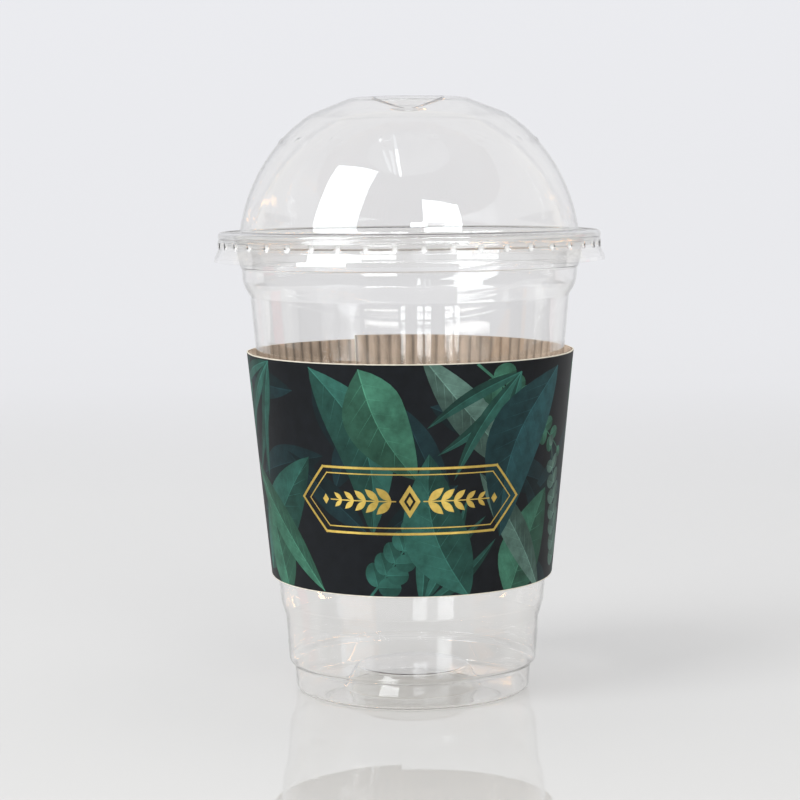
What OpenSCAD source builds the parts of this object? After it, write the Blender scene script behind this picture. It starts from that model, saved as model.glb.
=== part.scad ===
// Clear take-away cup with a rolled rim, a dome lid with a cross-cut straw
// opening that snaps over the rim, and a sleeve of single-face corrugated board.
// The origin is the centre of the base, on the surface that the cup stands on.
// +Z is up, -Y is the side that faces the viewer, and lengths are in millimetres.

/* [Cup] */
// Outer diameter of the rolled rim
rim_d = 98; // [94:0.5:102]
// Height of the cup without its lid
cup_h = 120.2; // [116:0.2:126]
// Wall of the cup
cup_wall = 0.35; // [0.3:0.05:0.5]
// Diameter of the rolled rim's section
curl_d = 3.6; // [3:0.1:4.2]
// How far the rim is rolled round, in degrees
curl_turn = 290; // [240:5:310]
// Diameter of the base
base_d = 61.6; // [58:0.2:63]
// Height of the narrow ring above the base
base_ring_h = 6.6; // [5:0.2:9]
// Width of the step above that ring
base_step = 1.5; // [1:0.1:2]
// Height of the foot of the tapered wall
taper_z = 23.6; // [22:0.2:26]
// Diameter of the wall at the foot of its taper
taper_low_d = 69.4; // [68.4:0.2:70.4]
// Diameter of the wall at the top of its taper
taper_high_d = 83.3; // [81.3:0.2:84.3]
// Height of the step below the rim's collar, down from the rim
collar_drop = 15.8; // [14:0.2:18]
// Width of that step
collar_step = 1.9; // [1.5:0.1:2.1]
// Diameter of the raised base panel at its foot
pushup_d = 36; // [30:1:42]
// Height of the raised base panel
pushup_h = 5.6; // [3:0.2:7]

/* [Dome lid] */
// Wall of the lid
lid_wall = 0.3; // [0.25:0.05:0.4]
// Gap between the lid's flange and the top of the rim
lid_fit = 0.15; // [0.1:0.05:0.3]
// Gap between the lid's skirt and the rim
skirt_gap = 0.6; // [0.5:0.05:0.8]
// Height of the skirt, down from the flange
skirt_h = 7.8; // [7:0.1:9]
// How far the skirt's foot flares out
skirt_flare = 1.1; // [0.8:0.1:2]
// Diameter of the dome where it meets the flange
dome_d = 88.2; // [86:0.2:90]
// Height of the dome above the flange
dome_h = 34.4; // [31:0.2:36]
// Depth of the dome's centre of curvature below its foot
dome_drop = 6.6; // [5.5:0.1:8]
// Diameter of the dome's flat top
top_d = 29.8; // [28:0.2:36]
// Diameter of the foot of the cone between the flat top and the dome
cone_d = 52; // [48:0.5:56]
// Number of snap dimples round the skirt
dimples = 44; // [30:1:48]
// Radius of a snap dimple, inside the skirt
dimple_r = 0.9; // [0.7:0.1:1.1]
// Running gap between a dimple and the rim
snap_gap = 0.1; // [0.05:0.05:0.2]
// Number of stacking nubs round the dome
nubs = 16; // [6:1:20]
// Radius of a stacking nub
nub_r = 1; // [0.7:0.1:1.4]
// How far a nub stands out of the dome
nub_rise = 0.3; // [0.2:0.05:0.5]
// Height of the ring of nubs, down from the dome's flat top
nub_drop = 11.1; // [9:0.1:14]

/* [Straw opening] */
// Side of the square that the four petals close
opening_side = 19; // [14:0.5:20]
// Angle that the petals are pressed down, in degrees
petal_angle = 18; // [8:1:25]
// Gap between one petal and the next
slit_gap = 0.3; // [0.2:0.05:0.5]
// Diameter of the relief hole at each slit's end
relief_d = 1.2; // [0.8:0.1:1.6]

/* [Sleeve] */
// Height of the sleeve's lower edge
sleeve_z = 30.6; // [27:0.1:33]
// Height of the sleeve
sleeve_h = 58.8; // [54:0.2:62]
// Gap between the sleeve and the cup at the lower edge
sleeve_fit = 0.25; // [0.2:0.05:0.4]
// How much wider that gap is at the upper edge
sleeve_ease = 0.8; // [0.4:0.1:1.2]
// Thickness of the printed outer paper
liner_t = 0.28; // [0.2:0.02:0.4]
// Thickness of the fluted inner paper
medium_t = 0.2; // [0.14:0.02:0.3]
// Height of the flutes
flute_h = 0.85; // [0.7:0.05:1]
// Number of flutes in one turn
flutes = 80; // [60:1:88]
// Width of the glued lap
lap_w = 12; // [8:0.5:16]
// Angle of the lap's inner end from the back of the cup, in degrees
seam_angle = 21.5; // [10:0.5:30]
// How far the lap's outer end sits below its inner end
seam_step = 1.2; // [0.5:0.1:2]
// How far the two side creases stand out
crease_out = 0.3; // [0.1:0.05:0.5]
// Forward lean of the sleeve's edges, in degrees
edge_lean = 0.9; // [0:0.1:1.8]

/* [Hidden] */
$fn = 120;

rim_r = rim_d / 2;
curl_r = curl_d / 2;
base_r = base_d / 2;
collar_z = cup_h - collar_drop;
neck_r = rim_r - curl_d + cup_wall;
base_corner = 1.5;
ring_draft = 0.4;
pushup_draft = 3.3;
collar_ridge = 0.35;
ridge_drop = 8.9;
ridge_inset = 1.9;
step_below = 0.6;
step_above = 2.5;
shoulder_round = 6;
kink_w = 1.3;
kink_h = 4.5;
ring_step_h = 1.3;

flange_under = cup_h + lid_fit;
flange_top = flange_under + lid_wall;
flange_r = rim_r + skirt_gap + lid_wall;
skirt_r = flange_r + skirt_flare;
skirt_z = flange_top - skirt_h;
flange_corner = 1;
groove = 0.2;
groove_half = 0.35;
groove_z = flange_top - 2.1;
band_edge = 0.25;
dimple_z = groove_z - groove_half - band_edge - dimple_r;
dome_foot_r = dome_d / 2;
dome_foot_z = flange_top + 0.5;
dome_r = sqrt(dome_foot_r * dome_foot_r + dome_drop * dome_drop);
dome_centre_z = dome_foot_z - dome_drop;
dome_top_z = flange_top + dome_h;
top_round = 6;
cone_round = 14;

board_t = liner_t + flute_h;
glue = 0.05;
sleeve_top = sleeve_z + sleeve_h;
crease_span = 14;
lap_ramp = 16;
outer_skew = 0.4;
joint_overlap = 0.05;
nub_root = 0.2;

function unit(v) = v / norm(v);
function leftward(v) = [-v[1], v[0]];
function arc(centre, r, from, to, steps) =
    [for (i = [0:steps]) let (a = from + (to - from) * i / steps) centre + r * [cos(a), sin(a)]];
function nearest_turn(a) = a > 180 ? a - 360 : a < -180 ? a + 360 : a;
function clamp(x) = min(1, max(0, x));
function smooth(x) = let (s = clamp(x)) s * s * (3 - 2 * s);

// The corner p between a and b, rounded to the radius p[2]
function rounded_corner(a, p, b, steps = 4) =
    let (at = [p[0], p[1]],
         back = unit([a[0], a[1]] - at),
         on = unit([b[0], b[1]] - at),
         half = acos(back * on) / 2,
         centre = at + unit(back + on) * p[2] / sin(half),
         start = at + back * p[2] / tan(half) - centre,
         end = at + on * p[2] / tan(half) - centre,
         a0 = atan2(start[1], start[0]),
         turn = nearest_turn(atan2(end[1], end[0]) - a0))
    arc(centre, p[2], a0, a0 + turn, steps);

// A line through corners [r, z, rounding], with no rounding at its two ends
function rounded_line(c) =
    [for (i = [0:len(c) - 1])
        each (i == 0 || i == len(c) - 1 || c[i][2] == 0
            ? [[c[i][0], c[i][1]]]
            : rounded_corner(c[i - 1], c[i], c[i + 1]))];

// The outline of a sheet of thickness t whose one face follows the line p
function sheet_outline(p, t) =
    let (last = len(p) - 1,
         other = [for (i = [last:-1:0])
             let (a = unit(p[max(i, 1)] - p[max(i, 1) - 1]),
                  b = unit(p[min(i, last - 1) + 1] - p[min(i, last - 1)]),
                  m = leftward(a) + leftward(b))
             p[i] + t * m * 2 / (m * m)])
    concat(p, other);

// Corners of the cup's outer wall: [radius, height, rounding]
wall_corners = [
    [base_r, 0, base_corner],
    [base_r + ring_draft, base_ring_h, 0.6],
    [base_r + ring_draft + base_step, base_ring_h + ring_step_h, 0.8],
    [taper_low_d / 2 - kink_w, taper_z - kink_h, 2],
    [taper_low_d / 2, taper_z, 2.5],
    [taper_high_d / 2, collar_z - step_below, 1.6],
    [taper_high_d / 2 + collar_step, collar_z + step_above, shoulder_round],
    [neck_r - ridge_inset, cup_h - ridge_drop - 0.4, 0.5],
    [neck_r - ridge_inset + collar_ridge, cup_h - ridge_drop, 0.3],
    [neck_r, cup_h - curl_r, 0]
];
base_corners = [
    [0, pushup_h, 0],
    [pushup_d / 2 - pushup_draft, pushup_h, 1],
    [pushup_d / 2, 0, 1]
];
// Outer radius of the cup's wall at a height
function cup_r(z) = lookup(z, [for (c = wall_corners) [c[1], c[0]]]);

module cup() {
    rim_centre = [rim_r - curl_r, cup_h - curl_r];
    wall_line = rounded_line(concat(base_corners, wall_corners));
    curl_line = arc(rim_centre, curl_r - cup_wall, 180, 180 - curl_turn, 28);
    line = concat(wall_line, [for (i = [1:len(curl_line) - 1]) curl_line[i]]);
    color([0.86, 0.9, 0.92, 0.35])
    rotate_extrude()
        polygon(sheet_outline(line, cup_wall));
}

module lid_shell() {
    meet = acos(cone_d / 2 / dome_r);
    foot = asin(dome_drop / dome_r);
    dome_arc = arc([0, dome_centre_z], dome_r, meet, foot, 16);
    top_line = rounded_line([
        [0, dome_top_z, 0],
        [top_d / 2, dome_top_z, top_round],
        [cone_d / 2, dome_arc[0][1], cone_round],
        [dome_arc[1][0], dome_arc[1][1], 0]
    ]);
    flange = rounded_line([
        [dome_foot_r, dome_foot_z, 0],
        [dome_foot_r + 0.15, flange_top, 0.4],
        [flange_r, flange_top, flange_corner],
        [flange_r, groove_z + groove_half, 0.3],
        [flange_r - groove, groove_z, 0.3],
        [flange_r, groove_z - groove_half, 0.3],
        [flange_r, dimple_z - dimple_r - band_edge, 0.6],
        [skirt_r - 0.15, skirt_z + 1.1, 0.6],
        [skirt_r, skirt_z, 0]
    ]);
    line = concat(top_line,
        [for (i = [2:len(dome_arc) - 1]) dome_arc[i]],
        [for (i = [1:len(flange) - 1]) flange[i]]);
    rotate_extrude()
        polygon(sheet_outline(line, -lid_wall));
}

// Places its child on the skirt's outer face at each snap dimple, its +Z pointing inward
module at_dimples() {
    for (i = [0:dimples - 1])
        rotate([0, 0, (i + 0.5) * 360 / dimples])
            translate([flange_r, 0, dimple_z])
                rotate([0, -90, 0])
                    children();
}

// Places its child on the dome's surface at each stacking nub, its +Z pointing outward
module at_nubs() {
    rise = dome_top_z - nub_drop - dome_centre_z;
    for (i = [0:nubs - 1])
        rotate([0, 0, (i + 0.5) * 360 / nubs])
            translate([0, 0, dome_centre_z])
                rotate([0, 90 - asin(rise / dome_r), 0])
                    translate([0, 0, dome_r])
                        children();
}

// One petal of the straw opening, hinged along the front side of the square
module petal() {
    half = opening_side / 2;
    translate([0, -half, dome_top_z])
        rotate([-petal_angle, 0, 0])
            translate([0, 0, -lid_wall])
                linear_extrude(lid_wall)
                    polygon([[-half + slit_gap, 0], [half - slit_gap, 0], [0, half - slit_gap]]);
}

module dome_lid() {
    half = opening_side / 2;
    dimple_depth = flange_r - rim_r - snap_gap;
    color([0.88, 0.91, 0.93, 0.35]) {
        difference() {
            union() {
                lid_shell();
                at_dimples()
                    translate([0, 0, joint_overlap])
                        cylinder(r = dimple_r, h = dimple_depth - joint_overlap);
                at_nubs()
                    translate([0, 0, -nub_root])
                        cylinder(r = nub_r, h = nub_root + nub_rise);
            }
            at_dimples()
                translate([0, 0, -1])
                    cylinder(r = dimple_r - lid_wall, h = 1 + dimple_depth - lid_wall);
            translate([-half, -half, dome_top_z - 2 * lid_wall])
                cube([opening_side, opening_side, 3 * lid_wall]);
            for (x = [-half, half], y = [-half, half])
                translate([x, y, dome_top_z - 2 * lid_wall])
                    cylinder(d = relief_d, h = 3 * lid_wall);
        }
        for (i = [0:3])
            rotate([0, 0, 90 * i])
                petal();
    }
}

// Angles of the sleeve's ends, counted round from the right-hand crease
seam_at = 90 + seam_angle;
lap_angle = lap_w / (cup_r(sleeve_top) + sleeve_fit + board_t) * 180 / PI;
outer_end = seam_at - lap_angle;
inner_end = seam_at + 360;

// Inner radius of the sleeve's single layer at a height
function sleeve_r(z) =
    let (low = cup_r(sleeve_z) + sleeve_fit,
         high = cup_r(sleeve_top) + sleeve_fit + sleeve_ease)
    low + (high - low) * (z - sleeve_z) / sleeve_h;
// How far a layer stands out: the lap's outer layer first, then a single layer
function layer_out(a) = (board_t + glue) * (1 - smooth((a - seam_at) / lap_ramp));
function crease_bump(a) =
    let (off = min(abs(a - 180), abs(a - 360)))
    crease_out * pow(clamp(1 - off / crease_span), 2);
// How far the edges rise at an angle: the lean, and the skew of the lap's two ends
function edge_rise(a) =
    sin(a) * cup_r(sleeve_top) * tan(edge_lean)
    - seam_step * outer_skew * clamp((180 - a) / (180 - seam_at))
    + seam_step * (1 - outer_skew) * clamp((a - 360) / seam_at);
// A flute's section points, in degrees from the middle of the crest that is glued
// to the outer paper. The first two lie on that crest, where the papers are one.
flute_phases = [-28, 28, 90, 150, 210, 270];
crest_half = flute_phases[1];
strip_angle = inner_end - outer_end;
strip_flutes = round(flutes * strip_angle / 360);
sections = 6 * strip_flutes + 2;

function on_crest(i) = i % 6 < 2;
function section_angle(i) =
    let (turn = floor(i / 6) + (flute_phases[i % 6] + crest_half) / 360,
         turns = strip_flutes + 2 * crest_half / 360)
    outer_end + strip_angle * turn / turns;
// Depth of the fluted paper's inner face at a section point
function flute_depth(i) =
    let (c = cos(flute_phases[i % 6]), top = cos(crest_half))
    (flute_h - medium_t) * (c + top) / (2 * top);

// A section's eight corners: the lower edge's four depths, then the upper edge's
function board_section(i) =
    let (a = section_angle(i),
         d = flute_depth(i),
         out = layer_out(a) + crease_bump(a))
    [for (z = [sleeve_z + edge_rise(a), sleeve_top + edge_rise(a)])
        for (depth = [d, d + medium_t, flute_h, board_t])
            let (r = sleeve_r(z) + out + depth)
            [r * cos(a), r * sin(a), z]];

// Index of a corner: section i, depth k, and 0 for the lower edge or 1 for the upper
function corner(i, k, up) = 8 * i + 4 * up + (on_crest(i) && k == 2 ? 1 : k);
function facing_out(i, k) =
    [corner(i, k, 0), corner(i, k, 1), corner(i + 1, k, 1), corner(i + 1, k, 0)];
function facing_in(i, k) =
    [corner(i, k, 0), corner(i + 1, k, 0), corner(i + 1, k, 1), corner(i, k, 1)];
function upper_cut(i, k, m) =
    [corner(i, k, 1), corner(i + 1, k, 1), corner(i + 1, m, 1), corner(i, m, 1)];
function lower_cut(i, k, m) =
    [corner(i, k, 0), corner(i, m, 0), corner(i + 1, m, 0), corner(i + 1, k, 0)];
function first_end(k, m) =
    [corner(0, k, 0), corner(0, k, 1), corner(0, m, 1), corner(0, m, 0)];
function last_end(k, m) =
    let (e = sections - 1)
    [corner(e, k, 0), corner(e, m, 0), corner(e, m, 1), corner(e, k, 1)];

// Corrugated board in one strip round the cup, with open channels along its flutes
module sleeve() {
    points = [for (i = [0:sections - 1]) each board_section(i)];
    strip = [for (i = [0:sections - 2])
        let (glued = on_crest(i) && on_crest(i + 1), k = glued ? 1 : 2)
        each [
            facing_out(i, 3),
            facing_in(i, 0),
            upper_cut(i, 0, 1),
            lower_cut(i, 0, 1),
            upper_cut(i, k, 3),
            lower_cut(i, k, 3),
            each glued ? [] : [facing_out(i, 1), facing_in(i, 2)]
        ]];
    ends = [first_end(0, 1), first_end(1, 3), last_end(0, 1), last_end(1, 3)];
    quads = concat(strip, ends);
    color([0.1, 0.22, 0.22])
    polyhedron(points, [for (q = quads) each [[q[0], q[1], q[2]], [q[0], q[2], q[3]]]]);
}

cup();
dome_lid();
sleeve();
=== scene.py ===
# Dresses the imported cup, lid and sleeve of a clear cold-drink cup. Lengths are in millimetres until
# a mesh is made, apart from the floor, the lights and the camera, which are in metres. Angles are in
# degrees. The sizes repeat those of the CAD source.
import math
import random
from collections import namedtuple
import bpy
import bmesh
import numpy as np
from mathutils import Matrix, Vector
from mathutils.geometry import delaunay_2d_cdt


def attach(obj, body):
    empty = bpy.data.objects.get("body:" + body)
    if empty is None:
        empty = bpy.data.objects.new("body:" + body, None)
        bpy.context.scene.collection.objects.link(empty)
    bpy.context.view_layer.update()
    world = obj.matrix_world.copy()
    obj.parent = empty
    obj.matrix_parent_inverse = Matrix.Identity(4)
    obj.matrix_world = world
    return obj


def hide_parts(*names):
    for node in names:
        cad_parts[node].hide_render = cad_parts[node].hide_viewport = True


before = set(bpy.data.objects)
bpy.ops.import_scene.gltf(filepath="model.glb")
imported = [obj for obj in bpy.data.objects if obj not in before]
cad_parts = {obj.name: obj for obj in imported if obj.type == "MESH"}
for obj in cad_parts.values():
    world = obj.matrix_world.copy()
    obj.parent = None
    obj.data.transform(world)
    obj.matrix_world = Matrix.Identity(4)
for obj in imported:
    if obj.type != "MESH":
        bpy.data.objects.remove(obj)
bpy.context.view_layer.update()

MM = 0.001

# the cup's sizes
RIM_R = 49.0
CUP_H = 120.2
CUP_WALL = 0.35
CURL_R = 1.8
CURL_TURN = 290
NECK_R = RIM_R - 2 * CURL_R + CUP_WALL
BASE_R = 30.8
BASE_CORNER = 1.5
BASE_RING_H = 6.6
BASE_STEP = 1.5
RING_DRAFT = 0.4
RING_STEP_H = 1.3
RING_ROUND = 1.4
TAPER_Z = 23.6
TAPER_LOW_R = 34.7
TAPER_HIGH_R = 41.65
KINK_W = 1.3
KINK_H = 4.5
COLLAR_Z = CUP_H - 15.8
COLLAR_STEP = 1.9
STEP_BELOW = 0.6
STEP_ABOVE = 2.5
SHOULDER_ROUND = 6
COLLAR_RIDGE = 0.35
RIDGE_DROP = 8.9
RIDGE_INSET = 1.9
PUSHUP_R = 18.0
PUSHUP_H = 5.6
PUSHUP_DRAFT = 3.3
CUP_SIDES = 288

# the lid's sizes
LID_WALL = 0.3
FLANGE_TOP = CUP_H + 0.15 + LID_WALL
FLANGE_R = RIM_R + 0.6 + LID_WALL
FLANGE_CORNER = 1
SKIRT_R = FLANGE_R + 1.1
SKIRT_Z = FLANGE_TOP - 7.8
GROOVE = 0.2
GROOVE_HALF = 0.35
GROOVE_Z = FLANGE_TOP - 2.1
BAND_EDGE = 0.25
DIMPLES = 44
DIMPLE_PITCH = 360 / DIMPLES
DIMPLE_R = 0.9
DIMPLE_Z = GROOVE_Z - GROOVE_HALF - BAND_EDGE - DIMPLE_R
DIMPLE_DEPTH = 0.55
DIMPLE_FLAT = 0.4
DIMPLE_SLOPE = 0.55
# The painted highlight in a dimple, a milky patch, is narrower than it is high by this factor.
HIGHLIGHT_SQUEEZE = 1.5
DOME_FOOT_R = 44.1
DOME_FOOT_Z = FLANGE_TOP + 0.5
DOME_DROP = 6.6
DOME_R = math.hypot(DOME_FOOT_R, DOME_DROP)
DOME_C = DOME_FOOT_Z - DOME_DROP
DOME_TOP = FLANGE_TOP + 34.4
TOP_R = 14.9
TOP_ROUND = 6
TOP_INNER_R = 10.2
CONE_R = 26.0
CONE_ROUND = 14
NUBS = 16
NUB_PITCH = 360 / NUBS
NUB_RISE = 0.3
NUB_FLAT = 0.2
NUB_SLOPE = 1.0
NUB_DROP = 11.1
NUB_AT = math.degrees(math.asin((DOME_TOP - NUB_DROP - DOME_C) / DOME_R))
OPENING = 19.0
PETAL_ANGLE = 18.0
PETAL_SAG = 0.25
PETAL_ROWS = 5
SLIT_GAP = 0.3

# the sleeve's sizes
SLEEVE_Z = 30.6
SLEEVE_H = 58.8
SLEEVE_TOP = SLEEVE_Z + SLEEVE_H
SLEEVE_FIT = 0.25
SLEEVE_EASE = 0.8
LINER_T = 0.28
MEDIUM_T = 0.2
FLUTE_H = 0.85
BOARD_T = LINER_T + FLUTE_H
FLUTES = 80
GLUE = 0.05
LAP_W = 12
LAP_RAMP = 16.0
SEAM_AT = 90 + 21.5
SEAM_STEP = 1.2
OUTER_SKEW = 0.4
EDGE_LEAN = 0.9
CREASE_OUT = 0.3
CREASE_SPAN = 14.0


def unit(v):
    v = np.asarray(v, float)
    return v / np.linalg.norm(v)


def smooth(x):
    """From 0 to 1 without a corner."""
    x = np.clip(x, 0, 1)
    return x * x * (3 - 2 * x)


def arc(centre, r, start, end, steps):
    angles = np.radians(np.linspace(start, end, steps + 1))
    return [np.array([centre[0] + r * math.cos(a), centre[1] + r * math.sin(a)]) for a in angles]


def rounded(corners, steps=6):
    """A line through corners (r, z, rounding), as in the CAD source."""
    out = []
    for i, c in enumerate(corners):
        p = np.array(c[:2], float)
        if i in (0, len(corners) - 1) or c[2] == 0:
            out.append(p)
            continue
        back = unit(np.array(corners[i - 1][:2]) - p)
        on = unit(np.array(corners[i + 1][:2]) - p)
        half = math.acos(np.clip(back @ on, -1, 1)) / 2
        centre = p + unit(back + on) * c[2] / math.sin(half)
        start = p + back * c[2] / math.tan(half) - centre
        end = p + on * c[2] / math.tan(half) - centre
        a = math.degrees(math.atan2(start[1], start[0]))
        turn = (math.degrees(math.atan2(end[1], end[0])) - a + 180) % 360 - 180
        out += arc(centre, c[2], a, a + turn, steps)
    return out


def filled(line, step):
    """The same line with no gap between points wider than step."""
    out = [line[0]]
    for a, b in zip(line, line[1:]):
        n = max(1, math.ceil(np.linalg.norm(b - a) / step))
        out += [a + (b - a) * k / n for k in range(1, n + 1)]
    return out


def offset(line, t):
    """The line moved by t to its left."""
    out = []
    for i, p in enumerate(line):
        a = unit(line[max(i, 1)] - line[max(i, 1) - 1])
        b = unit(line[min(i, len(line) - 2) + 1] - line[min(i, len(line) - 2)])
        m = np.array([-a[1] - b[1], a[0] + b[0]])
        out.append(p + t * m * 2 / (m @ m))
    return out


def ring_faces(rings, sides):
    """Faces between closed rings of points, and from the last ring back to the first."""
    faces = []
    for i in range(rings):
        j = (i + 1) % rings
        for k in range(sides):
            m = (k + 1) % sides
            faces.append((i * sides + k, i * sides + m, j * sides + m, j * sides + k))
    return faces


def show(name, mesh, *materials):
    """An object at the origin that shows a mesh."""
    for m in materials:
        mesh.materials.append(m)
    ob = bpy.data.objects.new(name, mesh)
    bpy.context.scene.collection.objects.link(ob)
    return ob


def shell(name, verts, faces, *materials):
    """An object made of one closed shell, with its faces turned outwards."""
    mesh = bpy.data.meshes.new(name)
    mesh.from_pydata([tuple(v) for v in np.asarray(verts, float) * MM], [], faces)
    bm = bmesh.new()
    bm.from_mesh(mesh)
    bmesh.ops.remove_doubles(bm, verts=bm.verts, dist=1e-7)
    bmesh.ops.recalc_face_normals(bm, faces=bm.faces)
    bm.to_mesh(mesh)
    bm.free()
    mesh.shade_smooth()
    mesh.set_sharp_from_angle(angle=math.radians(35))
    return show(name, mesh, *materials)


class Shader:
    """A node tree, with short ways to add nodes and to feed one from another."""

    def __init__(self, tree):
        self.tree = tree

    def feed(self, socket, value):
        """Give an input a number, a colour or the output of another node."""
        if isinstance(value, bpy.types.NodeSocket):
            self.tree.links.new(value, socket)
        else:
            socket.default_value = value

    def fill(self, node, **values):
        """Set each value on the property or else on the input of that name."""
        for key, value in values.items():
            if hasattr(node, key):
                setattr(node, key, value)
            else:
                self.feed(node.inputs[key.replace("_", " ")], value)
        return node

    def add(self, kind, **values):
        return self.fill(self.tree.nodes.new("ShaderNode" + kind), **values)

    def principled(self, **values):
        return self.fill(self.tree.nodes["Principled BSDF"], **values).outputs[0]

    def finish(self, surface):
        self.feed(self.tree.nodes["Material Output"].inputs["Surface"], surface)

    def here(self):
        return self.add("TexCoord").outputs["Object"]

    def stretched(self, vector, scale):
        return self.add("Mapping", Vector=vector, Scale=scale).outputs["Vector"]

    def noise(self, vector, **values):
        return self.add("TexNoise", Vector=vector, **values).outputs["Fac"]

    def bump(self, height, strength, distance):
        return self.add("Bump", Strength=strength, Distance=distance, Height=height).outputs["Normal"]

    def math(self, operation, first, second):
        n = self.add("Math", operation=operation)
        self.feed(n.inputs[0], first)
        self.feed(n.inputs[1], second)
        return n.outputs[0]

    def fit(self, value, low, high, to_low=0.0, to_high=1.0, **kind):
        """A value taken from one range to another."""
        n = self.add("MapRange", From_Min=low, From_Max=high, To_Min=to_low, To_Max=to_high,
                     Value=value, **kind)
        return n.outputs["Result"]

    def between(self, value, low, high, start=0.0, end=1.0):
        """A colour between two, by a value that runs from start to end."""
        n = self.add("ValToRGB", Fac=value)
        for element, position, colour in zip(n.color_ramp.elements, (start, end), (low, high)):
            element.position = position
            element.color = (*colour, 1)
        return n.outputs["Color"]

    def scaled(self, vector, factor):
        return self.add("VectorMath", operation="SCALE", Vector=vector, Scale=factor).outputs["Vector"]

    def mix_colours(self, factor, first, second, blend_type="MIX"):
        n = self.add("Mix", data_type="RGBA", blend_type=blend_type, Factor=factor)
        self.feed(n.inputs[6], first)
        self.feed(n.inputs[7], second)
        return n.outputs[2]

    def mix_shaders(self, factor, first, second):
        n = self.add("MixShader")
        for socket, value in zip(n.inputs, (factor, first, second)):
            self.feed(socket, value)
        return n.outputs[0]


def new_material(name):
    m = bpy.data.materials.new(name)
    m.use_nodes = True
    return m, Shader(m.node_tree)


def clear_plastic(name, tint, haze=0.0):
    """Thin clear plastic with faint waves. Haze makes it milky."""
    m, s = new_material(name)
    waves = s.noise(s.stretched(s.here(), (26, 26, 60)), Scale=1.0, Detail=2.0, Roughness=0.4)
    plastic = s.principled(Base_Color=(*tint, 1), Roughness=0.025 + 0.1 * haze, IOR=1.5,
                           Transmission_Weight=1.0 - haze, Normal=s.bump(waves, 0.05, 0.0006))
    # Lamps shine straight through, so that the table and the board behind aren't in the dark.
    rays = s.add("LightPath").outputs
    lit = s.math("MAXIMUM", rays["Is Shadow Ray"], rays["Is Diffuse Ray"])
    # At the outline a thin shell shows what is behind it, not its own inside.
    facing = s.add("LayerWeight", Blend=0.5).outputs["Facing"]
    clear = s.math("MAXIMUM", lit, s.fit(facing, 0.8, 1.0, 0.0, 0.85))
    through = s.add("BsdfTransparent", Color=(0.988, 0.986, 0.98, 1)).outputs[0]
    s.finish(s.mix_shaders(clear, plastic, through))
    return m


# the cup
def cup_line():
    """The cup's outer face, from the middle of its base to the end of its rolled rim."""
    line = rounded([
        (0, PUSHUP_H, 0),
        (PUSHUP_R - PUSHUP_DRAFT, PUSHUP_H, 1),
        (PUSHUP_R, 0, 1),
        (BASE_R, 0, BASE_CORNER),
        (BASE_R + RING_DRAFT, BASE_RING_H, RING_ROUND),
        (BASE_R + RING_DRAFT + BASE_STEP, BASE_RING_H + RING_STEP_H, RING_ROUND),
        (TAPER_LOW_R - KINK_W, TAPER_Z - KINK_H, 2),
        (TAPER_LOW_R, TAPER_Z, 2.5),
        (TAPER_HIGH_R, COLLAR_Z - STEP_BELOW, 1.6),
        (TAPER_HIGH_R + COLLAR_STEP, COLLAR_Z + STEP_ABOVE, SHOULDER_ROUND),
        (NECK_R - RIDGE_INSET, CUP_H - RIDGE_DROP - 0.4, 0.5),
        (NECK_R - RIDGE_INSET + COLLAR_RIDGE, CUP_H - RIDGE_DROP, 0.3),
        (NECK_R, CUP_H - CURL_R, 0),
    ])
    curl = arc((RIM_R - CURL_R, CUP_H - CURL_R), CURL_R - CUP_WALL, 180, 180 - CURL_TURN, 28)
    return filled(line, 6.0) + curl[1:]


def lathe(name, line, other, sides, *materials):
    """A closed shell turned about Z: out along line, back along other."""
    loop = list(line) + list(other)[::-1]
    angles = np.linspace(0, 2 * math.pi, sides, endpoint=False)
    verts = [(r * math.cos(a), r * math.sin(a), z) for r, z in loop for a in angles]
    return shell(name, verts, ring_faces(len(loop), sides), *materials)


def dress_cup():
    line = cup_line()
    # The sloping side of the raised base is tinted a little greyer than the rest of the cup.
    cup = lathe("cup_shell", line, offset(line, CUP_WALL), CUP_SIDES,
                clear_plastic("clear_plastic_cup", (0.976, 0.973, 0.966)),
                clear_plastic("clear_plastic_foot", (0.966, 0.962, 0.95)))
    for face in cup.data.polygons:
        out = math.hypot(face.center.x, face.center.y) / MM
        on_side = PUSHUP_R - PUSHUP_DRAFT - 0.1 < out < PUSHUP_R + 0.3
        face.material_index = int(on_side and face.center.z < PUSHUP_H * MM)
    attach(cup, "cup")
    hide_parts("cup")


dress_cup()

# the lid
# Angles are close together across a dimple and wide apart between two.
ACROSS = np.array([0, 0.42, 0.72, 1.05, 1.6, 2.9])
CELL = np.concatenate([-ACROSS[:0:-1], ACROSS])
LID_ANGLES = np.concatenate([(i + 0.5) * DIMPLE_PITCH + CELL for i in range(DIMPLES)])


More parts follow.
